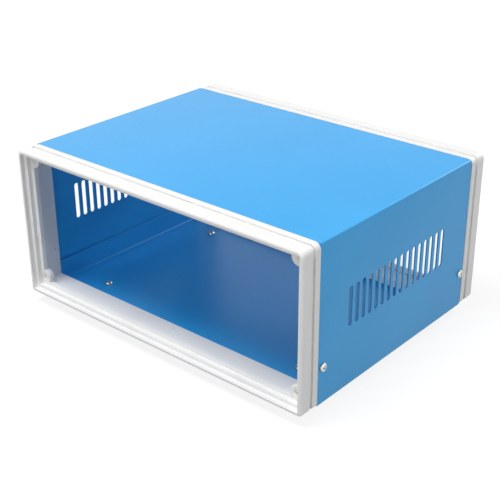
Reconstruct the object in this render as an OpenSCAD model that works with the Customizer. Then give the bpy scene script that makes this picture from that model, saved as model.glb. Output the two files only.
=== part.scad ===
// Folded sheet-steel instrument case with a moulded bezel at each end, in millimetres.
// +X is to the right, +Z is up and the open front faces -Y. The feet stand on z = 0.

/* [Case] */
// Width over the bezels
case_w = 250; // [200:1:300]
// Depth over the bezels
case_d = 200; // [170:1:260]
// Height over the bezels, feet not counted
case_h = 110; // [90:1:140]

/* [Sheet metal] */
// Thickness of the coated sheet
sheet_t = 1; // [0.8:0.1:1.5]
// Inside radius of the folds
fold_r = 0.3; // [0.2:0.1:1.5]
// How far the bezels stand proud of the cover
cover_step = 0.4; // [0.2:0.1:1]
// How far the cover's lower edges reach below the bezels
cover_drop = 0.4; // [0:0.1:1]
// How far the tray's underside hangs below the bezels
tray_drop = 1.6; // [1:0.1:2]
// Gap between the sheet and the bezel parts that it slides over
sheet_gap = 0.2; // [0.1:0.05:0.4]
// Gap between the ends of the sheets and the bezels' flanges
end_gap = 0.4; // [0.2:0.1:0.8]
// Height of the tray's side flanges over its underside
tray_flange_h = 16.6; // [8:0.1:22]
// Gap between the tray's flanges and the cover
flange_gap = 0.6; // [0.3:0.1:1]
// Gap between the ends of the tray's flanges and the sleeves
relief_gap = 0.6; // [0.3:0.1:2]

/* [Vents] */
// Slots in each side
vent_count = 16; // [6:1:17]
// Distance from slot to slot
vent_pitch = 6.9; // [5.5:0.1:7.2]
// Width of a slot
vent_w = 3.6; // [2.5:0.1:4.2]
// Height of a slot, over its round ends
vent_h = 27.5; // [15:0.5:40]
// Height of the slots' middle over the bezels' lower edge
vent_z = 56; // [45:1:62]

/* [Bezel] */
// Depth of the nose in front of the shadow groove
nose_depth = 9; // [7:0.1:11]
// Rounding of the nose's front edge
edge_r = 1.8; // [0.8:0.1:2]
// Radius of the upper corners
top_corner_r = 4.5; // [3:0.1:8]
// Radius of the lower corners
low_corner_r = 2.2; // [2.1:0.1:5]
// Width of the shadow groove between nose and flange
groove_w = 2.8; // [1.5:0.1:4]
// Depth of the shadow groove
groove_depth = 1.5; // [0.5:0.1:1.7]
// Thickness of the flange that the metal butts against
flange_t = 4.7; // [3:0.1:8]
// Width of the front rim
rim_w = 2.7; // [2.2:0.1:4]
// Width of each ledge in the stepped rebate
ledge_w = 2.7; // [1.5:0.1:3.5]
// Depth of each step in the rebate
step_depth = 3.3; // [2.5:0.1:4]
// Width of the lip that a panel rests on
seat_w = 2.6; // [1:0.1:3]
// Thickness of that lip
lip_t = 3.3; // [1.8:0.1:4]
// Radius of the inner moulded corners
inner_corner_r = 0.5; // [0.3:0.1:1]
// Length of the sleeve inside the metal
sleeve_len = 9; // [8:0.5:14]
// Thickness of the sleeve's upright walls
sleeve_side_t = 2; // [1.5:0.1:3]
// Thickness of the sleeve's upper wall
sleeve_flat_t = 3.8; // [2.5:0.1:5]
// Radius of the sleeve's outer corners
sleeve_corner_r = 1.4; // [1.2:0.1:3]

/* [Panel screw lugs] */
// Hole centres from the side edges of the panel recess
panel_hole_side = 3; // [2:0.1:6]
// Upper hole centres from the upper edge of the panel recess
panel_hole_drop = 3; // [2:0.1:6]
// Lower hole centres from the lower edge of the panel recess
panel_hole_rise = 5.8; // [2:0.1:8]
// Diameter of the screw holes
panel_hole_d = 2.5; // [2:0.1:3.2]
// Diameter of a lug
lug_d = 10.4; // [9:0.1:13]
// Length of a lug, from the face of the lip backwards
lug_len = 4.2; // [3:0.1:6]

/* [Screws] */
// Diameter of every screw
screw_d = 3; // [2.5:0.1:3.5]
// Diameter of the pan heads
head_d = 5.6; // [5:0.1:7]
// Height of the pan heads
head_h = 2.1; // [1.6:0.1:2.8]
// Height of the dome on top of a pan head
head_crown = 1; // [0.5:0.1:1.4]
// Width of a slot of the cross recess
recess_w = 0.8; // [0.5:0.1:1]
// Length of the cross recess
recess_len = 3.2; // [2:0.1:3.6]
// Depth of the cross recess
recess_depth = 1.1; // [0.6:0.1:1.3]
// Clearance on diameter where a screw passes through
pass_fit = 0.4; // [0.2:0.1:1]
// Clearance on diameter where a screw holds, its thread not being cut
thread_fit = 0.1; // [0.05:0.05:0.2]
// Length of the point on the cover and tray screws
point_len = 2.2; // [1.5:0.1:3]
// Diameter at the end of that point
point_d = 0.5; // [0.3:0.1:1]
// Length of the cover screws under the head, point included
cover_screw_len = 4.5; // [4:0.1:8]
// Height of the cover screws over the bezels' lower edge
cover_screw_z = 26; // [24:1:40]
// Length of the tray screws under the head, point included
tray_screw_len = 8; // [5:0.5:10]

/* [Feet] */
// Centre of a foot from the side of the case
foot_side = 35; // [20:0.5:60]
// Centre of a foot from the end of the case
foot_end = 43.5; // [40:0.5:60]
// Height of a foot
foot_h = 7; // [6.8:0.1:16]
// Diameter of a foot at the tray
foot_top_d = 16; // [14:0.5:24]
// Diameter of a foot at the ground
foot_low_d = 14; // [13:0.5:22]
// Thickness of the rubber between tray and washer
foot_web = 3; // [2:0.1:4]
// Diameter of the pocket for washer and nut
foot_pocket_d = 9; // [8.5:0.1:10]
// Diameter of the washers
washer_d = 7; // [6.6:0.1:8]
// Thickness of the washers
washer_t = 0.5; // [0.4:0.1:0.8]
// Width of the nuts across their flats
nut_flats = 5.5; // [5:0.1:6]
// Height of the nuts
nut_h = 2.4; // [1.6:0.1:2.6]
// How far the foot screws reach past the nuts
screw_end = 0.6; // [0.2:0.1:1]

/* [Hidden] */
$fn = 48;

past = 1;          // how far a cut runs past the face that it opens

blue_coat = "#58B4EA";
white_abs = "#ECECEA";
nickel = "#C8CACC";
black_rubber = "#2B2B2C";

// Levels
tray_under_z = foot_h;
tray_top_z = tray_under_z + sheet_t;
base_z = tray_under_z + tray_drop;
top_z = base_z + case_h;
cover_top_z = top_z - cover_step;
cover_low_z = base_z - cover_drop;
cover_side_x = case_w / 2 - cover_step;

// Depths of the front bezel, from its rim to the end of its sleeve
rim_y = -case_d / 2;
groove_y = rim_y + nose_depth;
flange_y = groove_y + groove_w;
flange_back_y = flange_y + flange_t;
sleeve_back_y = flange_back_y + sleeve_len;
step_count = 2;
seat_y = rim_y + step_count * step_depth;
lip_back_y = seat_y + lip_t;
screw_row_y = flange_back_y + sleeve_len / 2;

// Insets from the outer faces
recess_inset = rim_w + (step_count - 1) * ledge_w;
window_inset = recess_inset + seat_w;

// Sleeve
sleeve_x = cover_side_x - sheet_t - sheet_gap;
sleeve_low_z = tray_top_z + sheet_gap;
sleeve_high_z = cover_top_z - sheet_t - sheet_gap;
hollow_x = sleeve_x - sleeve_side_t;
hollow_high_z = sleeve_high_z - sleeve_flat_t;
hollow_low_z = base_z + top_z - hollow_high_z;

// Panel screw holes
panel_hole_x = case_w / 2 - recess_inset - panel_hole_side;
panel_hole_low_z = base_z + recess_inset + panel_hole_rise;
panel_hole_high_z = top_z - recess_inset - panel_hole_drop;

// Sheet metal
sheet_end_y = -flange_back_y - end_gap;
fold_outer_r = fold_r + sheet_t;
tray_x = cover_side_x - sheet_t - flange_gap;
tray_flange_end_y = -sleeve_back_y - relief_gap;

// Feet
foot_x = case_w / 2 - foot_side;
foot_y = case_d / 2 - foot_end;
foot_screw_len = sheet_t + foot_web + washer_t + nut_h + screw_end;

// How far a shank runs up into its head
shank_root = (head_h - recess_depth) / 2;

// Raise a front-view outline from one depth to another
module between(front, back) {
    translate([0, back, 0])
        rotate([90, 0, 0])
            linear_extrude(back - front)
                children();
}

// Front-view rectangle with its own radii at the upper and the lower corners, 0 for square ones
module rounded_plate(half_w, low, high, top_r, low_r) {
    translate([-half_w, low + low_r])
        square([2 * half_w, high - top_r - low - low_r]);
    corner_pair(half_w, high - top_r, top_r);
    corner_pair(half_w, low + low_r, low_r);
}

// Band round a given height with two round corners
module corner_pair(half_w, height, corner_r) {
    if (corner_r > 0) {
        translate([0, height])
            square([2 * (half_w - corner_r), 2 * corner_r], center = true);
        for (side = [-1, 1])
            translate([side * (half_w - corner_r), height])
                circle(r = corner_r);
    }
}

// Outline of the bezel, drawn in from its outer faces
module bezel_outline(inset) {
    rounded_plate(case_w / 2 - inset, base_z + inset, top_z - inset,
                  max(top_corner_r - inset, inner_corner_r),
                  max(low_corner_r - inset, inner_corner_r));
}

// What a rounded edge takes away in section, outwards along x and backwards along y
module edge_waste() {
    difference() {
        translate([-edge_r, -past])
            square(edge_r + past);
        translate([-edge_r, edge_r])
            circle(r = edge_r);
    }
}

// That section along a straight upper edge
module edge_run(length) {
    rotate([0, -90, 0])
        linear_extrude(length, center = true)
            edge_waste();
}

// That section round a lower right corner
module edge_turn(corner_r) {
    rotate([-90, 0, 0])
        rotate_extrude(angle = 90)
            translate([corner_r, 0])
                edge_waste();
}

// All that rounds over the front edge of the nose
module edge_rounding() {
    translate([0, rim_y, top_z])
        edge_run(case_w - 2 * top_corner_r);
    translate([0, rim_y, base_z])
        mirror([0, 0, 1])
            edge_run(case_w - 2 * low_corner_r);
    for (side = [0, 1])
        mirror([side, 0, 0]) {
            translate([case_w / 2, rim_y, base_z + low_corner_r])
                linear_extrude(case_h - low_corner_r - top_corner_r)
                    edge_waste();
            translate([case_w / 2 - low_corner_r, rim_y, base_z + low_corner_r])
                edge_turn(low_corner_r);
            translate([case_w / 2 - top_corner_r, rim_y, top_z - top_corner_r])
                mirror([0, 0, 1])
                    edge_turn(top_corner_r);
        }
}

// Nose, grooved neck, flange and sleeve, still solid
module bezel_block() {
    difference() {
        between(rim_y, groove_y)
            bezel_outline(0);
        edge_rounding();
    }
    between((rim_y + groove_y) / 2, flange_y + flange_t / 2)
        bezel_outline(groove_depth);
    between(flange_y, flange_back_y)
        bezel_outline(0);
    between(flange_y, sleeve_back_y)
        rounded_plate(sleeve_x, sleeve_low_z, sleeve_high_z, sleeve_corner_r, sleeve_corner_r);
}

// Stepped rebate for a panel, the window in its lip and the hollow behind
module bezel_hollow() {
    for (step = [1 : step_count])
        between(rim_y - past, rim_y + step * step_depth)
            bezel_outline(rim_w + (step - 1) * ledge_w);
    between(seat_y - past, lip_back_y + past)
        bezel_outline(window_inset);
    between(lip_back_y, sleeve_back_y + past)
        rounded_plate(hollow_x, hollow_low_z, hollow_high_z, inner_corner_r, inner_corner_r);
}

// Put a shape that points backwards at the four panel screw holes
module at_panel_holes() {
    for (side = [-1, 1], height = [panel_hole_low_z, panel_hole_high_z])
        translate([side * panel_hole_x, seat_y, height])
            rotate([-90, 0, 0])
                children();
}

// Round lugs that widen the lip at the window's corners
module panel_lugs() {
    at_panel_holes()
        cylinder(d = lug_d, h = lug_len);
}

// Holes for the panel, cover and tray screws
module bezel_holes() {
    at_panel_holes()
        translate([0, 0, -past])
            cylinder(d = panel_hole_d, h = lug_len + 2 * past);
    for (side = [-1, 1])
        translate([side * cover_side_x, screw_row_y, base_z + cover_screw_z])
            rotate([0, side * 90, 0])
                pointed_shank(cover_screw_len, thread_fit);
    translate([0, screw_row_y, tray_under_z])
        rotate([180, 0, 0])
            pointed_shank(tray_screw_len, thread_fit);
}

module bezel() {
    difference() {
        union() {
            difference() {
                bezel_block();
                bezel_hollow();
            }
            panel_lugs();
        }
        bezel_holes();
    }
}

module front_bezel() {
    color(white_abs)
        bezel();
}

module rear_bezel() {
    color(white_abs)
        mirror([0, 1, 0])
            bezel();
}

// Side-view outline of one vent slot, upright with round ends
module vent_outline() {
    square([vent_h - vent_w, vent_w], center = true);
    for (end = [-1, 1])
        translate([end * (vent_h - vent_w) / 2, 0])
            circle(d = vent_w);
}

// Rows of slots through both sides
module vents() {
    for (slot = [0 : vent_count - 1])
        translate([0, (slot - (vent_count - 1) / 2) * vent_pitch, base_z + vent_z])
            rotate([0, 90, 0])
                linear_extrude(case_w + 2 * past, center = true)
                    vent_outline();
}

// One sheet folded down along both sides
module top_cover() {
    color(blue_coat)
        difference() {
            between(-sheet_end_y, sheet_end_y)
                difference() {
                    rounded_plate(cover_side_x, cover_low_z, cover_top_z, fold_outer_r, 0);
                    rounded_plate(cover_side_x - sheet_t, cover_low_z - past, cover_top_z - sheet_t,
                                  fold_r, 0);
                }
            vents();
            for (end = [-1, 1])
                translate([0, end * screw_row_y, base_z + cover_screw_z])
                    rotate([0, 90, 0])
                        cylinder(d = screw_d + pass_fit, h = case_w + 2 * past, center = true);
        }
}

// Section of the tray where its flanges stand
module tray_section() {
    high = tray_under_z + tray_flange_h;
    difference() {
        rounded_plate(tray_x, tray_under_z, high, 0, fold_outer_r);
        rounded_plate(tray_x - sheet_t, tray_top_z, high + past, 0, fold_r);
    }
}

// One sheet with low flanges folded up, cut back at the ends to clear the sleeves
module bottom_tray() {
    floor_x = tray_x - fold_outer_r;
    color(blue_coat)
        difference() {
            union() {
                between(-tray_flange_end_y, tray_flange_end_y)
                    tray_section();
                translate([-floor_x, -sheet_end_y, tray_under_z])
                    cube([2 * floor_x, 2 * sheet_end_y, sheet_t]);
            }
            at_feet()
                translate([0, 0, -past])
                    cylinder(d = screw_d + pass_fit, h = sheet_t + 2 * past);
            at_tray_screws()
                translate([0, 0, -past])
                    cylinder(d = screw_d + pass_fit, h = sheet_t + 2 * past);
        }
}

// Put a shape on the tray's underside at the four feet
module at_feet() {
    for (side = [-1, 1], end = [-1, 1])
        translate([side * foot_x, end * foot_y, tray_under_z])
            children();
}

// Put a shape on the tray's underside at the two tray screws
module at_tray_screws() {
    for (end = [-1, 1])
        translate([0, end * screw_row_y, tray_under_z])
            children();
}

// Domed pan head with a cross recess, on z = 0
module pan_head() {
    dome_r = (head_crown ^ 2 + (head_d / 2) ^ 2) / (2 * head_crown);
    difference() {
        intersection() {
            cylinder(d = head_d, h = head_h);
            translate([0, 0, head_h - dome_r])
                sphere(r = dome_r);
        }
        for (turn = [0, 90])
            rotate(turn)
                translate([-recess_len / 2, -recess_w / 2, head_h - recess_depth])
                    cube([recess_len, recess_w, recess_depth + past]);
    }
}

// Shank that points down from z = 0 and ends flat, widened by a clearance
module flat_shank(length, fit) {
    translate([0, 0, -length])
        cylinder(d = screw_d + fit, h = length + shank_root);
}

// Shank that points down from z = 0 and ends in a cone, widened by a clearance
module pointed_shank(length, fit) {
    flat_shank(length - point_len, fit);
    translate([0, 0, -length])
        cylinder(d1 = point_d + fit, d2 = screw_d + fit, h = point_len);
}

module cover_screws() {
    color(nickel)
        for (side = [-1, 1], end = [-1, 1])
            translate([side * cover_side_x, end * screw_row_y, base_z + cover_screw_z])
                rotate([0, side * 90, 0]) {
                    pan_head();
                    pointed_shank(cover_screw_len, 0);
                }
}

module tray_screws() {
    color(nickel)
        at_tray_screws()
            rotate([180, 0, 0]) {
                pan_head();
                pointed_shank(tray_screw_len, 0);
            }
}

module foot_screws() {
    color(nickel)
        at_feet()
            translate([0, 0, sheet_t]) {
                pan_head();
                flat_shank(foot_screw_len, 0);
            }
}

module foot_washers() {
    color(nickel)
        at_feet()
            translate([0, 0, -foot_web - washer_t])
                difference() {
                    cylinder(d = washer_d, h = washer_t);
                    translate([0, 0, -past])
                        cylinder(d = screw_d + pass_fit, h = washer_t + 2 * past);
                }
}

module foot_nuts() {
    color(nickel)
        at_feet()
            translate([0, 0, -foot_web - washer_t - nut_h])
                difference() {
                    cylinder(d = nut_flats / cos(30), h = nut_h, $fn = 6);
                    translate([0, 0, -past])
                        cylinder(d = screw_d + thread_fit, h = nut_h + 2 * past);
                }
}

// Tapered rubber foot with a screw hole and a pocket open to the ground
module foot(side, end) {
    color(black_rubber)
        translate([side * foot_x, end * foot_y, 0])
            difference() {
                cylinder(d1 = foot_low_d, d2 = foot_top_d, h = foot_h);
                translate([0, 0, -past])
                    cylinder(d = foot_pocket_d, h = foot_h - foot_web + past);
                cylinder(d = screw_d + pass_fit, h = foot_h + past);
            }
}

module foot_front_left() {
    foot(-1, -1);
}

module foot_front_right() {
    foot(1, -1);
}

module foot_rear_left() {
    foot(-1, 1);
}

module foot_rear_right() {
    foot(1, 1);
}

front_bezel();
rear_bezel();
top_cover();
bottom_tray();
cover_screws();
tray_screws();
foot_front_left();
foot_front_right();
foot_rear_left();
foot_rear_right();
foot_screws();
foot_washers();
foot_nuts();
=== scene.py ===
import math

import bmesh
import bpy
from mathutils import Matrix, Vector


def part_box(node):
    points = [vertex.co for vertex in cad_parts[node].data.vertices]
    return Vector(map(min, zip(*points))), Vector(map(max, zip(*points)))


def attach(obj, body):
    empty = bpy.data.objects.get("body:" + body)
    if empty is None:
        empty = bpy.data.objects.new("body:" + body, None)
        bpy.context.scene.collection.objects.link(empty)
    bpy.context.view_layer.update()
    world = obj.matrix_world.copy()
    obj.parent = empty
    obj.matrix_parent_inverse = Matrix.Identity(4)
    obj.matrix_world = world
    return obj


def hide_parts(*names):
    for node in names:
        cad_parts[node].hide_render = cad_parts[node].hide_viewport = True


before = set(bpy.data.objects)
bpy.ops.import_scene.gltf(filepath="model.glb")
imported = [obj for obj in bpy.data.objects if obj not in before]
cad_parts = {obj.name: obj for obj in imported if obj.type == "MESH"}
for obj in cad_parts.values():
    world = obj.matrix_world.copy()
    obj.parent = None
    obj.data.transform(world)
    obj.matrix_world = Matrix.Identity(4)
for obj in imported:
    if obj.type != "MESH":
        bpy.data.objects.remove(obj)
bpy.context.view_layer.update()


# Bottom tray: the floor and two low side flanges, folded from one 1 mm steel sheet.
# It is powder coated sky blue all over. The coat flows round every cut edge, so none is sharp,
# and it lies thicker in the inner folds.

MM = 0.001
SHEET = 1 * MM
FOLD_R = 0.3 * MM
FOLD_STEPS = 6
COAT_EDGE = 0.3 * MM
COAT_FILLET = 1.4 * MM
COAT_DRIFT = 70 * MM
COAT_PEEL = 2.5 * MM
COAT_RELIEF = 0.01 * MM
RELIEF_END = 73.9 * MM
PASS_R = 1.7 * MM
DRILL_REACH = 3 * MM
HEAD_R = 2.8 * MM
FOOT_NODES = ["foot_front_left", "foot_front_right", "foot_rear_left", "foot_rear_right"]
tray_low, tray_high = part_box("bottom_tray")
floor_top = tray_low.z + SHEET
row_y = (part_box("tray_screws")[1].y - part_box("tray_screws")[0].y) / 2 - HEAD_R


def linear(hex_colour):
    """A colour written as sRGB hex, as the linear RGBA that a shader takes."""
    parts = [int(hex_colour[i:i + 2], 16) / 255 for i in (1, 3, 5)]
    return [c / 12.92 if c <= 0.04045 else ((c + 0.055) / 1.055) ** 2.4 for c in parts] + [1]


def add_node(tree, kind, inputs=None, **settings):
    """Adds a node, sets it up, and gives each named input a value or a link."""
    node = tree.nodes.new(kind)
    for key, value in settings.items():
        setattr(node, key, value)
    for key, value in (inputs or {}).items():
        if isinstance(value, bpy.types.NodeSocket):
            tree.links.new(value, node.inputs[key])
        else:
            node.inputs[key].default_value = value
    return node


def new_material(name):
    """An empty node material, with the coordinates that its patterns read."""
    material = bpy.data.materials.new(name)
    material.use_nodes = True
    material.node_tree.nodes.clear()
    where = add_node(material.node_tree, "ShaderNodeTexCoord").outputs["Object"]
    return material, material.node_tree, where


# Powder coat: polyester powder melted on to the steel. It flows out to a semi-gloss skin with
# a faint orange peel, about 2.5 mm from hump to hump, and its colour drifts a little with thickness.
powder_coat, tree, where = new_material("blue_powder_coat")
drift = add_node(tree, "ShaderNodeTexNoise", {"Vector": where, "Scale": 1 / COAT_DRIFT, "Detail": 2})
peel = add_node(tree, "ShaderNodeTexNoise", {"Vector": where, "Scale": 1 / COAT_PEEL, "Detail": 1})
shade = add_node(tree, "ShaderNodeValToRGB", {"Fac": drift.outputs["Fac"]})
shade.color_ramp.elements[0].position = 0.3
shade.color_ramp.elements[0].color = linear("#2EA5E9")
shade.color_ramp.elements[1].position = 0.7
shade.color_ramp.elements[1].color = linear("#34ABEE")
gloss = add_node(tree, "ShaderNodeMapRange",
                 {"Value": peel.outputs["Fac"], "From Min": 0.3, "From Max": 0.7,
                  "To Min": 0.285, "To Max": 0.34})
relief = add_node(tree, "ShaderNodeBump",
                  {"Height": peel.outputs["Fac"], "Strength": 0.15, "Distance": COAT_RELIEF})
skin = add_node(tree, "ShaderNodeBsdfPrincipled",
                {"Base Color": shade.outputs["Color"], "Roughness": gloss.outputs["Result"],
                 "Normal": relief.outputs["Normal"], "IOR": 1.4})
add_node(tree, "ShaderNodeOutputMaterial", {"Surface": skin.outputs["BSDF"]})


def new_mesh(shape, name):
    """Ends a mesh under construction, with its faces smooth and turned outwards."""
    bmesh.ops.recalc_face_normals(shape, faces=shape.faces)
    mesh = bpy.data.meshes.new(name)
    shape.to_mesh(mesh)
    shape.free()
    for face in mesh.polygons:
        face.use_smooth = True
    return mesh


def lofted(rings, name, closed=False):
    """A skin over rings of points. It runs back to its first ring, or ends in a fan at each end."""
    shape = bmesh.new()
    rows = [[shape.verts.new(point) for point in ring] for ring in rings]
    count = len(rings[0])
    for row, following in zip(rows, rows[1:] + rows[:1] if closed else rows[1:]):
        for i in range(count):
            j = (i + 1) % count
            shape.faces.new((row[i], row[j], following[j], following[i]))
    for row in [] if closed else [rows[0], rows[-1]]:
        middle = shape.verts.new(sum((v.co for v in row), Vector()) / count)
        for i in range(count):
            shape.faces.new((row[i], row[(i + 1) % count], middle))
    return new_mesh(shape, name)


def circle(radius, height, count=48):
    """Points of one ring about the Z axis."""
    turns = [2 * math.pi * i / count for i in range(count)]
    return [Vector((radius * math.cos(t), radius * math.sin(t), height)) for t in turns]


def new_piece(mesh, name):
    """Puts a mesh in the scene as a piece."""
    piece = bpy.data.objects.new(name, mesh)
    bpy.context.scene.collection.objects.link(piece)
    return piece


def keep_result(piece, material):
    """Turns a piece's modifiers into a plain mesh with one material."""
    bpy.context.view_layer.update()
    graph = bpy.context.evaluated_depsgraph_get()
    mesh = bpy.data.meshes.new_from_object(piece.evaluated_get(graph), depsgraph=graph)
    mesh.name = piece.name
    piece.modifiers.clear()
    piece.data = mesh
    mesh.materials.clear()
    mesh.materials.append(material)


def finish_piece(piece, material, slot, *nodes):
    """Fixes a finished piece to the part, in place of the named CAD solids."""
    keep_result(piece, material)
    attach(piece, "root")
    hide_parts(*nodes)


def round_edges(piece, radius):
    """Rounds every edge that turns by more than a step of a fold, and keeps the flats flat."""
    bevel = piece.modifiers.new("edges", "BEVEL")
    bevel.width = radius
    bevel.segments = 3
    bevel.limit_method = "ANGLE"
    bevel.angle_limit = math.radians(30)
    bevel.use_clamp_overlap = False
    bevel.harden_normals = True


def new_tree(name, inputs, output):
    """A geometry node tree with its named inputs and one output, and the sockets that it is given."""
    group = bpy.data.node_groups.new(name, "GeometryNodeTree")
    for title, kind in inputs.items():
        group.interface.new_socket(title, in_out="INPUT", socket_type="NodeSocket" + kind)
    group.interface.new_socket(output, in_out="OUTPUT", socket_type="NodeSocketGeometry")
    return group, add_node(group, "NodeGroupInput").outputs


def set_out_tree():
    """Node tree that puts one shape at every point, its Z axis along the point's outward direction."""
    inputs = {"Points": "Geometry", "Shape": "Object", "Finish": "Material", "Turn Seed": "Int"}
    group, given = new_tree("set_out", inputs, "Pieces")
    shape = add_node(group, "GeometryNodeObjectInfo", {"Object": given["Shape"]}).outputs["Geometry"]
    outward = add_node(group, "GeometryNodeInputNamedAttribute", {"Name": "outward"},
                       data_type="FLOAT_VECTOR").outputs["Attribute"]
    aimed = add_node(group, "FunctionNodeAlignRotationToVector", {"Vector": outward}, axis="Z").outputs[0]
    turn = add_node(group, "FunctionNodeRandomValue",
                    {"Max": (0, 0, 2 * math.pi), "Seed": given["Turn Seed"]},
                    data_type="FLOAT_VECTOR").outputs[0]
    spin = add_node(group, "FunctionNodeEulerToRotation", {"Euler": turn}).outputs[0]
    turned = add_node(group, "FunctionNodeRotateRotation", {"Rotation": aimed, "Rotate By": spin},
                      rotation_space="LOCAL").outputs[0]
    placed = add_node(group, "GeometryNodeInstanceOnPoints",
                      {"Points": given["Points"], "Instance": shape, "Rotation": turned}).outputs[0]
    real = add_node(group, "GeometryNodeRealizeInstances", {"Geometry": placed}).outputs[0]
    done = add_node(group, "GeometryNodeSetMaterial",
                    {"Geometry": real, "Material": given["Finish"]}).outputs[0]
    add_node(group, "NodeGroupOutput", {"Pieces": done})
    return group


set_out = set_out_tree()


def give(piece, group, **values):
    """Puts a node tree on a piece and sets its named inputs."""
    modifier = piece.modifiers.new(group.name, "NODES")
    modifier.node_group = group
    for socket in group.interface.items_tree:
        key = socket.name.lower().replace(" ", "_")
        if socket.in_out == "INPUT" and key in values:
            modifier[socket.identifier] = values[key]


def spread(mesh, name, places, material, seed=0):
    """One mesh set out at each place, a place being a point and an outward direction."""
    pattern = new_piece(mesh, name + "_pattern")
    points = bpy.data.meshes.new(name + "_points")
    points.from_pydata([point for point, outward in places], [], [])
    aim = points.attributes.new("outward", "FLOAT_VECTOR", "POINT")
    for item, (point, outward) in zip(aim.data, places):
        item.vector = outward
    piece = new_piece(points, name)
    give(piece, set_out, shape=pattern, finish=material, turn_seed=seed)
    keep_result(piece, material)
    bpy.data.objects.remove(pattern)
    return piece


def cut(piece, tool, operation="DIFFERENCE", solver="EXACT"):
    """Cuts a tool out of a piece, or joins it on."""
    step = piece.modifiers.new(tool.name, "BOOLEAN")
    step.object = tool
    step.operation = operation
    step.solver = solver


def drill(radius, reach, count=32):
    """A round drill along Z that reaches as far above z = 0 as below it."""
    return lofted([circle(radius, -reach, count), circle(radius, reach, count)], "drill")


def foot_places(level):
    """The four foot centres at a given level, facing up."""
    boxes = [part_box(node) for node in FOOT_NODES]
    return [(((low.x + high.x) / 2, (low.y + high.y) / 2, level), (0, 0, 1)) for low, high in boxes]


def tray_screw_places(outward):
    """The two tray screws, under the middle of each end."""
    return [((0, end * row_y, tray_low.z), outward) for end in (-1, 1)]


def fold(side, middle_x, middle_z, radius, first, last):
    """Points round one fold, from one angle to another in degrees."""
    turns = [math.radians(first + (last - first) * step / FOLD_STEPS) for step in range(FOLD_STEPS + 1)]
    return [(side * (middle_x + radius * math.cos(t)), middle_z + radius * math.sin(t)) for t in turns]


def tray_mesh():
    """The folded tray, its flanges cut back at both ends and its floor running on between them."""
    flat_x = tray_high.x - SHEET - COAT_FILLET
    right = fold(1, flat_x, floor_top + COAT_FILLET, COAT_FILLET, 270, 360)
    right += [(tray_high.x - SHEET, tray_high.z), (tray_high.x, tray_high.z)]
    right += fold(1, tray_high.x - SHEET - FOLD_R, floor_top + FOLD_R, FOLD_R + SHEET, 360, 270)
    left = [(-x, z) for x, z in reversed(right)]
    shape = bmesh.new()
    ends = []
    for y in (-RELIEF_END, RELIEF_END):
        sides = [[shape.verts.new((x, y, z)) for x, z in points] for points in (right, left)]
        for side in sides:
            shape.faces.new(side)
        ends.append(sides)
    for near, far in zip(*ends):
        for i in range(len(near) - 1):
            shape.faces.new((near[i], near[i + 1], far[i + 1], far[i]))

    # The floor's two faces join the right flange's section to the left one's
    for front, back in ((0, -1), (-1, 0)):
        shape.faces.new((ends[0][0][front], ends[0][1][back], ends[1][1][back], ends[1][0][front]))
    for sides, y in zip(ends, (tray_low.y, tray_high.y)):
        inner = [sides[0][0], sides[0][-1], sides[1][0], sides[1][-1]]
        outer = [shape.verts.new((v.co.x, y, v.co.z)) for v in inner]
        shape.faces.new(outer)
        for i in range(4):
            j = (i + 1) % 4
            shape.faces.new((inner[i], inner[j], outer[j], outer[i]))
    return new_mesh(shape, "tray_sheet")


tray = new_piece(tray_mesh(), "folded_bottom_tray")
tray_drills = spread(drill(PASS_R, DRILL_REACH), "tray_drills",
                     foot_places(tray_low.z) + tray_screw_places((0, 0, 1)), powder_coat)
cut(tray, tray_drills)
round_edges(tray, COAT_EDGE)
finish_piece(tray, powder_coat, "blue_powder_coat", "bottom_tray")
bpy.data.objects.remove(tray_drills)


# Feet: four moulded rubber feet under the tray, tapered to the ground, with a pocket below
# that holds the nut and washer of the screw through the floor.

FOOT_TOP_R = 8 * MM
FOOT_LOW_R = 7 * MM
FOOT_TOP_EDGE = 0.5 * MM
FOOT_LOW_EDGE = 1 * MM
FOOT_WEB = 3 * MM
POCKET_R = 4.5 * MM
POCKET_EDGE = 0.3 * MM
RUBBER_GRAIN = 0.8 * MM
RUBBER_RELIEF = 0.05 * MM

# Black rubber: moulded in a blasted tool, so it is dull and finely grained. The grain is drawn
# coarser than it is, at about 0.8 mm, so that it shows.
black_rubber, tree, where = new_material("black_rubber")
grain = add_node(tree, "ShaderNodeTexNoise", {"Vector": where, "Scale": 1 / RUBBER_GRAIN, "Detail": 2})
shade = add_node(tree, "ShaderNodeValToRGB", {"Fac": grain.outputs["Fac"]})
shade.color_ramp.elements[0].color = linear("#1C1C1D")
shade.color_ramp.elements[1].color = linear("#2C2C2D")
relief = add_node(tree, "ShaderNodeBump",
                  {"Height": grain.outputs["Fac"], "Strength": 0.4, "Distance": RUBBER_RELIEF})
skin = add_node(tree, "ShaderNodeBsdfPrincipled",
                {"Base Color": shade.outputs["Color"], "Roughness": 0.78,
                 "Normal": relief.outputs["Normal"], "IOR": 1.52})
add_node(tree, "ShaderNodeOutputMaterial", {"Surface": skin.outputs["BSDF"]})


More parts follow.
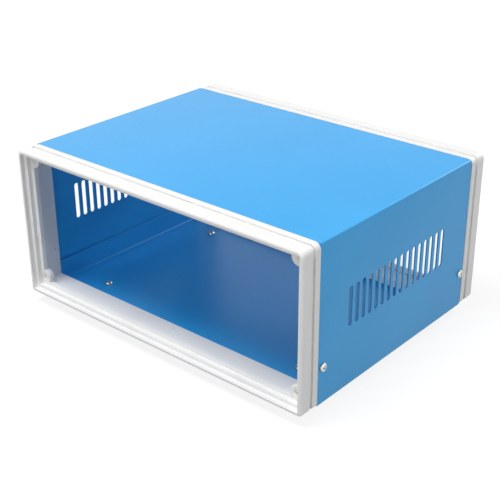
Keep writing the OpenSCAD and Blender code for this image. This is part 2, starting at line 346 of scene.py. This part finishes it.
def foot_mesh():
    """A round foot that hangs from z = 0, with softened edges."""
    ground = -tray_low.z
    profile = [(PASS_R, -FOOT_WEB), (PASS_R, 0)]
    for turn in (0, 30, 60, 90):
        t = math.radians(turn)
        radius = FOOT_TOP_R - FOOT_TOP_EDGE * (1 - math.sin(t))
        profile.append((radius, -FOOT_TOP_EDGE * (1 - math.cos(t))))
    for turn in (0, 22.5, 45, 67.5, 90):
        t = math.radians(turn)
        radius = FOOT_LOW_R - FOOT_LOW_EDGE * (1 - math.cos(t))
        profile.append((radius, ground + FOOT_LOW_EDGE * (1 - math.sin(t))))
    profile += [(POCKET_R + POCKET_EDGE, ground), (POCKET_R, ground + POCKET_EDGE), (POCKET_R, -FOOT_WEB)]
    mesh = lofted([circle(radius, level) for radius, level in profile], "foot", closed=True)
    mesh.set_sharp_from_angle(angle=math.radians(50))
    return mesh


feet = spread(foot_mesh(), "rubber_feet", foot_places(tray_low.z), black_rubber)
finish_piece(feet, black_rubber, "black_rubber", *FOOT_NODES)


# Foot screws: M3 pan-head machine screws, nickel plated, put down through the floor into the feet.
# Each is cold headed with a cross recess and has a rolled thread of 0.5 mm pitch.

HEAD_H = 2.1 * MM
SCREW_R = 1.5 * MM
POINT_R = 0.25 * MM
POINT_LEN = 2.2 * MM
FINE_PITCH = 0.5 * MM
THREAD_DEPTH = 0.28 * MM
THREAD_SLOPE = 2.6
RINGS_PER_TURN = 6
RECESS_R = 1.6 * MM
RECESS_HALF_W = 0.42 * MM
RECESS_DEPTH = 1.2 * MM
RECESS_TAPER = 0.5
DRIVER_SPARE = 0.2 * MM
NICKEL_CLOUD = 1.5 * MM

# Bright nickel: a thin plated coat on smooth steel, with faint cloudy wear that dulls it in places.
nickel, tree, where = new_material("bright_nickel")
cloud = add_node(tree, "ShaderNodeTexNoise", {"Vector": where, "Scale": 1 / NICKEL_CLOUD, "Detail": 3})
shade = add_node(tree, "ShaderNodeValToRGB", {"Fac": cloud.outputs["Fac"]})
shade.color_ramp.elements[0].color = linear("#BFBDB8")
shade.color_ramp.elements[1].color = linear("#D6D5D1")
dulled = add_node(tree, "ShaderNodeMapRange",
                  {"Value": cloud.outputs["Fac"], "From Min": 0.3, "From Max": 0.7,
                   "To Min": 0.12, "To Max": 0.24})
skin = add_node(tree, "ShaderNodeBsdfPrincipled",
                {"Base Color": shade.outputs["Color"], "Roughness": dulled.outputs["Result"],
                 "Metallic": 1})
add_node(tree, "ShaderNodeOutputMaterial", {"Surface": skin.outputs["BSDF"]})


def pan_screw(length, pitch, pointed):
    """A pan-head screw with its head on z = 0 and its threaded shank pointing down."""
    count = 36

    # The head's outline from its crown to its underside, in shares of its radius and height
    head = [(0.1, 1.0), (0.35, 0.985), (0.6, 0.945), (0.78, 0.87), (0.9, 0.76), (0.97, 0.62),
            (1.0, 0.46), (1.0, 0.1), (0.985, 0.04), (0.95, 0.0)]
    rings = [circle(radius * HEAD_R, level * HEAD_H, count) for radius, level in head]

    # The thread's ridge climbs by one pitch in each turn, and fades out at both ends
    rings.append(circle(SCREW_R - THREAD_DEPTH, 0, count))
    step = pitch / RINGS_PER_TURN
    for k in range(1, int(length / step)):
        level = -k * step
        fade = min(1, -level / pitch, (length + level) / pitch)
        full = SCREW_R
        if pointed:
            full = min(SCREW_R, POINT_R + (SCREW_R - POINT_R) * (length + level) / POINT_LEN)
        ring = []
        for i, point in enumerate(circle(1, level, count)):
            ridge = max(0, 1 - abs((level / pitch - i / count) % 1 - 0.5) * THREAD_SLOPE)
            radius = full - min(THREAD_DEPTH, full / 3) * (1 - ridge * fade)
            ring.append(Vector((point.x * radius, point.y * radius, level)))
        rings.append(ring)
    rings.append(circle(POINT_R if pointed else SCREW_R - 2 * THREAD_DEPTH, -length, count))
    screw = new_piece(lofted(rings, "screw"), "screw")

    # The cross recess is pressed in by a tapered driver
    cross = []
    for quarter in range(4):
        turn = Matrix.Rotation(quarter * math.pi / 2, 3, "Z")
        corners = ((RECESS_R, -RECESS_HALF_W), (RECESS_R, RECESS_HALF_W), (RECESS_HALF_W, RECESS_HALF_W))
        cross += [turn @ Vector((x, y, HEAD_H + DRIVER_SPARE)) for x, y in corners]
    bottom = [Vector((p.x * RECESS_TAPER, p.y * RECESS_TAPER, HEAD_H - RECESS_DEPTH)) for p in cross]
    driver = new_piece(lofted([cross, bottom], "driver"), "driver")
    cut(screw, driver)
    keep_result(screw, nickel)
    mesh = screw.data
    bpy.data.objects.remove(driver)
    bpy.data.objects.remove(screw)
    mesh.set_sharp_from_angle(angle=math.radians(38))
    return mesh


foot_screw_len = floor_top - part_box("foot_screws")[0].z
foot_screws = spread(pan_screw(foot_screw_len, FINE_PITCH, pointed=False), "floor_foot_screws",
                     foot_places(floor_top), nickel, seed=3)
finish_piece(foot_screws, nickel, "nickel_steel", "foot_screws")


# Foot washers and nuts: stamped and plated like the screws, up inside the feet.
# The washers have rolled edges, and the nuts' corners are turned off a little.

WASHER_EDGE = 0.08 * MM
NUT_EDGE = 0.2 * MM
WELD = 0.002 * MM


def softened_copy(node, name, radius):
    """A copy of a plain CAD solid with its edges rounded."""
    shape = bmesh.new()
    shape.from_mesh(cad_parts[node].data)
    bmesh.ops.remove_doubles(shape, verts=shape.verts, dist=WELD)
    bmesh.ops.dissolve_limit(shape, angle_limit=math.radians(0.6), verts=shape.verts, edges=shape.edges)
    bmesh.ops.connect_verts_concave(shape, faces=shape.faces)
    piece = new_piece(new_mesh(shape, name), name)
    round_edges(piece, radius)
    return piece


washers = softened_copy("foot_washers", "stamped_washers", WASHER_EDGE)
finish_piece(washers, nickel, "nickel_steel", "foot_washers")
nuts = softened_copy("foot_nuts", "hexagon_nuts", NUT_EDGE)
finish_piece(nuts, nickel, "nickel_steel", "foot_nuts")


# End bezels: two like injection mouldings in white ABS, one at each open end of the case.
# Each has a stepped rebate for a panel, screw lugs in its corners and a sleeve inside the metal.
# Insets run in from the outer faces, and depths run back from the rim.

CASE_H = 110 * MM
TOP_CORNER_R = 4.5 * MM
LOW_CORNER_R = 2.2 * MM
INNER_CORNER_R = 0.5 * MM
CORNER_STEPS = 8
NOSE_EDGE = 1.8 * MM
MOULD_EDGE = 0.35 * MM
MOULD_ROOT = 0.2 * MM
RIM_INSET = 2.7 * MM
LEDGE_DEPTH = 3.3 * MM
LEDGE_INSET = 5.4 * MM
SEAT_DEPTH = 6.6 * MM
LIP_INSET = 8 * MM
LIP_DEPTH = 9.9 * MM
GROOVE_INSET = 1.5 * MM
GROOVE_DEPTH = 9 * MM
FLANGE_DEPTH = 11.8 * MM
FLANGE_END = 16.5 * MM
SLEEVE_END = 25.5 * MM
SLEEVE_HALF_W = 123.4 * MM
SLEEVE_INSET = 1.6 * MM
SLEEVE_CORNER_R = 1.4 * MM
TRAY_FIT = 0.2 * MM
HOLLOW_HALF_W = 121.4 * MM
HOLLOW_INSET = 5.4 * MM
LUG_R = 5.2 * MM
LUG_LEN = 4.2 * MM
LUG_HAIR = 0.03 * MM
PANEL_HOLE_R = 1.25 * MM
PANEL_HOLE_X = 116.6 * MM
LOW_HOLE_UP = 11.2 * MM
HIGH_HOLE_DOWN = 8.4 * MM
PANEL_DRILL_REACH = 8 * MM
SIDE_SCREW_UP = 26 * MM
SIDE_SCREW_LEN = 4.5 * MM
LOW_SCREW_LEN = 8 * MM
SCREW_ROOM = 0.05 * MM
ABS_GRAIN = 0.9 * MM
ABS_FLOW = 45 * MM
ABS_RELIEF = 0.01 * MM
bezel_low, bezel_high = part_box("front_bezel")
rim_y = bezel_low.y
half_w = bezel_high.x
top_z = bezel_high.z
base_z = top_z - CASE_H
seat_y = rim_y + SEAT_DEPTH

# White ABS: moulded in a lightly blasted tool, so it has a satin, finely grained skin. The grain
# is drawn coarser than it is, at about 0.9 mm, so that it shows.
white_abs, tree, where = new_material("white_abs")
grain = add_node(tree, "ShaderNodeTexNoise", {"Vector": where, "Scale": 1 / ABS_GRAIN, "Detail": 2})
flow = add_node(tree, "ShaderNodeTexNoise", {"Vector": where, "Scale": 1 / ABS_FLOW, "Detail": 1})
shade = add_node(tree, "ShaderNodeValToRGB", {"Fac": flow.outputs["Fac"]})
shade.color_ramp.elements[0].position = 0.3
shade.color_ramp.elements[0].color = linear("#EFEFEE")
shade.color_ramp.elements[1].position = 0.7
shade.color_ramp.elements[1].color = linear("#F3F3F2")
gloss = add_node(tree, "ShaderNodeMapRange",
                 {"Value": grain.outputs["Fac"], "From Min": 0.3, "From Max": 0.7,
                  "To Min": 0.42, "To Max": 0.5})
relief = add_node(tree, "ShaderNodeBump",
                  {"Height": grain.outputs["Fac"], "Strength": 0.2, "Distance": ABS_RELIEF})
skin = add_node(tree, "ShaderNodeBsdfPrincipled",
                {"Base Color": shade.outputs["Color"], "Roughness": gloss.outputs["Result"],
                 "Normal": relief.outputs["Normal"], "IOR": 1.5})
add_node(tree, "ShaderNodeOutputMaterial", {"Surface": skin.outputs["BSDF"]})


def frame_ring(half_x, low, high, top_r, low_r, y):
    """Points of one rounded rectangle round the bezel, with its own upper and lower corner radii."""
    corners = [(1, low + low_r, low_r, -90), (1, high - top_r, top_r, 0),
               (-1, high - top_r, top_r, 90), (-1, low + low_r, low_r, 180)]
    points = []
    for side, level, radius, first in corners:
        for step in range(CORNER_STEPS + 1):
            t = math.radians(first + 90 * step / CORNER_STEPS)
            x = side * (half_x - radius) + radius * math.cos(t)
            points.append(Vector((x, y, level + radius * math.sin(t))))
    return points


def inset_ring(inset, depth):
    """The bezel's outline drawn in from its outer faces, at one depth behind the rim."""
    top_r = max(TOP_CORNER_R - inset, INNER_CORNER_R)
    low_r = max(LOW_CORNER_R - inset, INNER_CORNER_R)
    return (half_w - inset, base_z + inset, top_z - inset, top_r, low_r, rim_y + depth)


def sleeve_ring(depth):
    """The sleeve's outside, which fits under the cover and on the tray, at one depth."""
    return (SLEEVE_HALF_W, floor_top + TRAY_FIT, top_z - SLEEVE_INSET,
            SLEEVE_CORNER_R, SLEEVE_CORNER_R, rim_y + depth)


def hollow_ring(depth):
    """The sleeve's inside at one depth."""
    return (HOLLOW_HALF_W, base_z + HOLLOW_INSET, top_z - HOLLOW_INSET,
            INNER_CORNER_R, INNER_CORNER_R, rim_y + depth)


def rounded_section(rings, radii):
    """Puts a rounding of its own radius at every ring of a closed section.

    The first and last numbers of a ring, its half width and its depth, give how far apart two rings are."""
    result = []
    for i, (ring, radius) in enumerate(zip(rings, radii)):
        before, after = rings[i - 1], rings[(i + 1) % len(rings)]
        steps = 8 if radius > MM else 3
        for k in range(steps + 1):
            t = math.radians(90 * k / steps)
            point = list(ring)
            for other, share in ((before, 1 - math.sin(t)), (after, 1 - math.cos(t))):
                reach = radius / math.hypot(other[0] - ring[0], other[5] - ring[5])
                point = [p + (o - r) * reach * share for p, o, r in zip(point, other, ring)]
            result.append(point)
    return result


def bezel_mesh():
    """The front bezel's section, from the rim round the outside to the sleeve and back inside."""
    section = [
        (inset_ring(RIM_INSET, 0), MOULD_EDGE),
        (inset_ring(0, 0), NOSE_EDGE),
        (inset_ring(0, GROOVE_DEPTH), MOULD_EDGE),
        (inset_ring(GROOVE_INSET, GROOVE_DEPTH), MOULD_ROOT),
        (inset_ring(GROOVE_INSET, FLANGE_DEPTH), MOULD_ROOT),
        (inset_ring(0, FLANGE_DEPTH), MOULD_EDGE),
        (inset_ring(0, FLANGE_END), MOULD_EDGE),
        (sleeve_ring(FLANGE_END), MOULD_ROOT),
        (sleeve_ring(SLEEVE_END), MOULD_EDGE),
        (hollow_ring(SLEEVE_END), MOULD_EDGE),
        (hollow_ring(LIP_DEPTH), MOULD_ROOT),
        (inset_ring(LIP_INSET, LIP_DEPTH), MOULD_EDGE),
        (inset_ring(LIP_INSET, SEAT_DEPTH), MOULD_EDGE),
        (inset_ring(LEDGE_INSET, SEAT_DEPTH), MOULD_ROOT),
        (inset_ring(LEDGE_INSET, LEDGE_DEPTH), MOULD_EDGE),
        (inset_ring(RIM_INSET, LEDGE_DEPTH), MOULD_ROOT),
    ]
    rings = rounded_section([ring for ring, radius in section], [radius for ring, radius in section])
    return lofted([frame_ring(*ring) for ring in rings], "bezel_section", closed=True)


def lug_mesh():
    """A round lug that faces +Z with a softened front edge, a hair proud of the lip's face."""
    profile = [(LUG_R - MOULD_EDGE, LUG_HAIR), (LUG_R - 0.3 * MOULD_EDGE, LUG_HAIR - 0.3 * MOULD_EDGE),
               (LUG_R, LUG_HAIR - MOULD_EDGE), (LUG_R, -LUG_LEN)]
    return lofted([circle(radius, level) for radius, level in profile], "lug")


def pointed_drill(length):
    """A drill for a hole with room for a pointed screw, from just above z = 0 down to its end."""
    wide, narrow = SCREW_R + SCREW_ROOM, POINT_R + SCREW_ROOM
    profile = [(wide, MM), (wide, POINT_LEN - length), (narrow, -length)]
    return lofted([circle(radius, level, 32) for radius, level in profile], "pointed_drill")


# The two ends are the same moulding, so one is made and the other is its copy turned half round
panel_holes = [((side * PANEL_HOLE_X, seat_y, level), (0, -1, 0))
               for side in (-1, 1) for level in (base_z + LOW_HOLE_UP, top_z - HIGH_HOLE_DOWN)]
screw_level = base_z + SIDE_SCREW_UP
cover_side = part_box("top_cover")[1].x
side_holes = [((side * cover_side, -row_y, screw_level), (side, 0, 0)) for side in (-1, 1)]
low_hole = [((0, -row_y, tray_low.z), (0, 0, -1))]
lugs = spread(lug_mesh(), "panel_lugs", panel_holes, white_abs)
drills = [spread(drill(PANEL_HOLE_R, PANEL_DRILL_REACH), "panel_drills", panel_holes, white_abs),
          spread(pointed_drill(SIDE_SCREW_LEN), "side_drills", side_holes, white_abs),
          spread(pointed_drill(LOW_SCREW_LEN), "low_drill", low_hole, white_abs)]
front = new_piece(bezel_mesh(), "moulded_front_bezel")
cut(front, lugs, "UNION", "MANIFOLD")
for tool in drills:
    cut(front, tool, "DIFFERENCE", "MANIFOLD")
front.modifiers.new("flats", "WEIGHTED_NORMAL")
keep_result(front, white_abs)
rear_mesh = front.data.copy()
rear_mesh.transform(Matrix.Rotation(math.pi, 4, "Z"))
rear = new_piece(rear_mesh, "moulded_rear_bezel")
finish_piece(front, white_abs, "white_abs", "front_bezel")
finish_piece(rear, white_abs, "white_abs", "rear_bezel")
for tool in [lugs] + drills:
    bpy.data.objects.remove(tool)


# Tray screws: two pan-head screws from below, one at the middle of each end, that cut their own
# thread in the bezels' sleeves. They are nickel plated, pointed, with a coarse thread of 1.1 mm pitch.

COARSE_PITCH = 1.1 * MM
tray_screw_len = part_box("tray_screws")[1].z - tray_low.z
tray_screws = spread(pan_screw(tray_screw_len, COARSE_PITCH, pointed=True), "tray_end_screws",
                     tray_screw_places((0, 0, -1)), nickel, seed=5)
finish_piece(tray_screws, nickel, "nickel_steel", "tray_screws")


# Top cover: one 1 mm steel sheet folded down along both sides, with a row of punched vent slots
# in each side. It goes over the bezels' sleeves and has the tray's blue powder coat.

SLOT_COUNT = 16
SLOT_PITCH = 6.9 * MM
SLOT_W = 3.6 * MM
SLOT_H = 27.5 * MM
SLOT_LEVEL = base_z + 56 * MM
PUNCH_SPARE = 10 * MM
cover_low, cover_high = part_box("top_cover")


def cover_mesh():
    """The plain folded sheet before it is punched."""
    flat_x = cover_high.x - SHEET - FOLD_R
    fold_z = cover_high.z - SHEET - FOLD_R
    section = [(cover_high.x, cover_low.z)] + fold(1, flat_x, fold_z, FOLD_R + SHEET, 0, 90)
    section += fold(-1, flat_x, fold_z, FOLD_R + SHEET, 90, 0) + [(-cover_high.x, cover_low.z)]
    section += [(SHEET - cover_high.x, cover_low.z)] + fold(-1, flat_x, fold_z, FOLD_R, 0, 90)
    section += fold(1, flat_x, fold_z, FOLD_R, 90, 0) + [(cover_high.x - SHEET, cover_low.z)]
    shape = bmesh.new()
    ends = [[shape.verts.new((x, y, z)) for x, z in section] for y in (cover_low.y, cover_high.y)]
    for end in ends:
        shape.faces.new(end)
    for i in range(len(section)):
        j = (i + 1) % len(section)
        shape.faces.new((ends[0][i], ends[0][j], ends[1][j], ends[1][i]))
    return new_mesh(shape, "cover_sheet")


def punched_sides_tree():
    """Node tree that punches a row of round-ended slots and two screw holes through both sides."""
    sizes = ("Slot Pitch", "Slot Width", "Slot Height", "Slot Level",
             "Hole Radius", "Hole Level", "Hole Spacing", "Cut Length")
    inputs = {"Sheet": "Geometry", "Slot Count": "Int", **dict.fromkeys(sizes, "Float"),
              "Finish": "Material"}
    group, given = new_tree("punched_sides", inputs, "Cover")

    # A punch is the slot's outline drawn out along X, its ends a hair short of half round
    left, right = [add_node(group, "ShaderNodeVectorMath", {0: (half, 0, 0), "Scale": given["Cut Length"]},
                            operation="SCALE").outputs[0] for half in (-0.5, 0.5)]
    path = add_node(group, "GeometryNodeCurvePrimitiveLine", {"Start": left, "End": right}).outputs[0]
    blank = add_node(group, "GeometryNodeCurvePrimitiveQuadrilateral",
                     {"Width": given["Slot Width"], "Height": given["Slot Height"]}).outputs[0]
    end_r = add_node(group, "ShaderNodeMath", {0: given["Slot Width"], 1: 0.4995},
                     operation="MULTIPLY").outputs[0]
    outline = add_node(group, "GeometryNodeFilletCurve", {"Curve": blank, "Radius": end_r, "Count": 8},
                       mode="POLY").outputs[0]
    punch = add_node(group, "GeometryNodeCurveToMesh",
                     {"Curve": path, "Profile Curve": outline, "Fill Caps": True}).outputs[0]

    # The punches stand in a row, centred on the depth of the case
    gaps = add_node(group, "ShaderNodeMath", {0: given["Slot Count"], 1: 1.0},
                    operation="SUBTRACT").outputs[0]
    row_len = add_node(group, "ShaderNodeMath", {0: gaps, 1: given["Slot Pitch"]},
                       operation="MULTIPLY").outputs[0]
    first_y = add_node(group, "ShaderNodeMath", {0: row_len, 1: -0.5}, operation="MULTIPLY").outputs[0]
    row_start = add_node(group, "ShaderNodeCombineXYZ", {"Y": first_y, "Z": given["Slot Level"]}).outputs[0]
    slot_step = add_node(group, "ShaderNodeCombineXYZ", {"Y": given["Slot Pitch"]}).outputs[0]
    row = add_node(group, "GeometryNodeMeshLine",
                   {"Count": given["Slot Count"], "Start Location": row_start, "Offset": slot_step},
                   mode="OFFSET").outputs[0]
    slots = add_node(group, "GeometryNodeInstanceOnPoints", {"Points": row, "Instance": punch}).outputs[0]

    # Two round drills do for the screw holes of both sides
    ring = add_node(group, "GeometryNodeCurvePrimitiveCircle",
                    {"Resolution": 32, "Radius": given["Hole Radius"]}).outputs[0]
    bit = add_node(group, "GeometryNodeCurveToMesh",
                   {"Curve": path, "Profile Curve": ring, "Fill Caps": True}).outputs[0]
    front_y = add_node(group, "ShaderNodeMath", {0: given["Hole Spacing"], 1: -0.5},
                       operation="MULTIPLY").outputs[0]
    pair_start = add_node(group, "ShaderNodeCombineXYZ", {"Y": front_y, "Z": given["Hole Level"]}).outputs[0]
    hole_step = add_node(group, "ShaderNodeCombineXYZ", {"Y": given["Hole Spacing"]}).outputs[0]
    pair = add_node(group, "GeometryNodeMeshLine",
                    {"Count": 2, "Start Location": pair_start, "Offset": hole_step},
                    mode="OFFSET").outputs[0]
    holes = add_node(group, "GeometryNodeInstanceOnPoints", {"Points": pair, "Instance": bit}).outputs[0]

    tools = add_node(group, "GeometryNodeJoinGeometry")
    for tool in (slots, holes):
        group.links.new(tool, tools.inputs[0])
    real = add_node(group, "GeometryNodeRealizeInstances", {"Geometry": tools.outputs[0]}).outputs[0]
    sheet = add_node(group, "GeometryNodeMeshBoolean", {"Mesh 1": given["Sheet"], "Mesh 2": real},
                     operation="DIFFERENCE", solver="EXACT").outputs[0]
    done = add_node(group, "GeometryNodeSetMaterial",
                    {"Geometry": sheet, "Material": given["Finish"]}).outputs[0]
    add_node(group, "NodeGroupOutput", {"Cover": done})
    return group


cover = new_piece(cover_mesh(), "folded_top_cover")
give(cover, punched_sides_tree(), slot_count=SLOT_COUNT, slot_pitch=SLOT_PITCH, slot_width=SLOT_W,
     slot_height=SLOT_H, slot_level=SLOT_LEVEL, hole_radius=PASS_R, hole_level=screw_level,
     hole_spacing=2 * row_y, cut_length=2 * cover_high.x + PUNCH_SPARE, finish=powder_coat)
round_edges(cover, COAT_EDGE)
finish_piece(cover, powder_coat, "blue_powder_coat", "top_cover")


# Cover screws: two pan-head screws in each side, through the cover into the bezels' sleeves.
# They are the same pointed, nickel-plated screws as under the tray, but shorter.

cover_screw_places = [((side * cover_high.x, end * row_y, screw_level), (side, 0, 0))
                      for side in (-1, 1) for end in (-1, 1)]
cover_screws = spread(pan_screw(SIDE_SCREW_LEN, COARSE_PITCH, pointed=True), "cover_side_screws",
                      cover_screw_places, nickel, seed=2)
finish_piece(cover_screws, nickel, "nickel_steel", "cover_screws")


# Studio: a white paper floor in a white room, with softboxes above, in front, at the right
# and behind, and the photograph's camera.

FLOOR_HALF = 4
AIM_LEVEL = 0.06
scene = bpy.context.scene
scene.view_settings.view_transform = "Standard"


def seen_directly(tree):
    """1 for rays that show the backdrop, straight or in a reflection, and 0 for rays that light things."""
    ray = add_node(tree, "ShaderNodeLightPath").outputs
    mirrored = add_node(tree, "ShaderNodeMath", {0: ray["Is Camera Ray"], 1: ray["Is Glossy Ray"]},
                        operation="MAXIMUM").outputs[0]
    return add_node(tree, "ShaderNodeMath", {0: mirrored, 1: ray["Is Transmission Ray"]},
                    operation="MAXIMUM").outputs[0]


# White paper: it glows enough to show white, more so away from the case and its shadow,
# and gives the case only the bounce of a grey sheet
paper, tree, where = new_material("white_paper")
away = add_node(tree, "ShaderNodeVectorMath", {0: where}, operation="LENGTH")
lift = add_node(tree, "ShaderNodeMapRange",
                {"Value": away.outputs["Value"], "From Min": 0.4, "From Max": 1.4,
                 "To Min": 0.86, "To Max": 1.0})
tone = add_node(tree, "ShaderNodeBsdfDiffuse", {"Color": linear("#969696")})
seen_tone = add_node(tree, "ShaderNodeBsdfDiffuse", {"Color": linear("#787878")})
glow = add_node(tree, "ShaderNodeEmission",
                {"Color": linear("#FFFFFF"), "Strength": lift.outputs["Result"]})
seen = add_node(tree, "ShaderNodeAddShader", {0: seen_tone.outputs[0], 1: glow.outputs[0]})
mixed = add_node(tree, "ShaderNodeMixShader",
                 {0: seen_directly(tree), 1: tone.outputs[0], 2: seen.outputs[0]})
add_node(tree, "ShaderNodeOutputMaterial", {"Surface": mixed.outputs[0]})
sheet = bpy.data.meshes.new("floor")
sheet.from_pydata([(x * FLOOR_HALF, y * FLOOR_HALF, 0) for x, y in ((-1, -1), (1, -1), (1, 1), (-1, 1))],
                  [], [(0, 1, 2, 3)])
sheet.materials.append(paper)
floor = new_piece(sheet, "floor")

world = bpy.data.worlds.new("studio")
scene.world = world
world.use_nodes = True
tree = world.node_tree
tree.nodes.clear()
level = add_node(tree, "ShaderNodeMapRange",
                 {"Value": seen_directly(tree), "To Min": 0.07, "To Max": 1.0})
sky = add_node(tree, "ShaderNodeBackground",
               {"Color": linear("#FFFFFF"), "Strength": level.outputs["Result"]})
add_node(tree, "ShaderNodeOutputWorld", {"Surface": sky.outputs[0]})


def soft_box(name, place, size, power):
    """A square softbox that faces the case, its place and size in metres and its power in watts."""
    lamp = bpy.data.lights.new(name, "AREA")
    lamp.shape = "SQUARE"
    lamp.size = size
    lamp.energy = power
    holder = bpy.data.objects.new(name, lamp)
    holder.location = place
    holder.rotation_euler = (Vector((0, 0, AIM_LEVEL)) - Vector(place)).to_track_quat("-Z", "Y").to_euler()
    scene.collection.objects.link(holder)


soft_box("overhead", (-0.2, -0.42, 1.3), 0.6, 14.8)
soft_box("front", (0.15, -1.5, 0.15), 0.6, 7.8)
soft_box("side", (1.2, 0.05, 0.45), 0.6, 4.8)
soft_box("rear", (0.32, 1.05, 0.72), 0.25, 3.2)
soft_box("fill", (0.05, 1.4, 0.25), 0.6, 2.5)

# The camera stands right of the front at a height of about 0.38 m, with a lens of about 76 mm.
# It aims a little below the middle of the case.
azimuth = math.radians(40.80)
elevation = math.radians(26.21)
roll = math.radians(-0.35)
distance = 743.44 * MM
aim_right = 0.13 * MM
aim_down = 18.30 * MM
outward = Vector((math.sin(azimuth), -math.cos(azimuth), 0))
back = outward * math.cos(elevation) + Vector((0, 0, math.sin(elevation)))
level_right = Vector((math.cos(azimuth), math.sin(azimuth), 0))
level_up = back.cross(level_right)
right = level_right * math.cos(roll) + level_up * math.sin(roll)
up = level_up * math.cos(roll) - level_right * math.sin(roll)
middle = Vector((0, 0, base_z + CASE_H / 2))
lens = bpy.data.cameras.new("camera")
lens.lens = 75.85
camera = bpy.data.objects.new("camera", lens)
camera.matrix_world = Matrix((right, up, back)).transposed().to_4x4()
camera.location = middle + back * distance + right * aim_right - up * aim_down
scene.collection.objects.link(camera)
scene.camera = camera
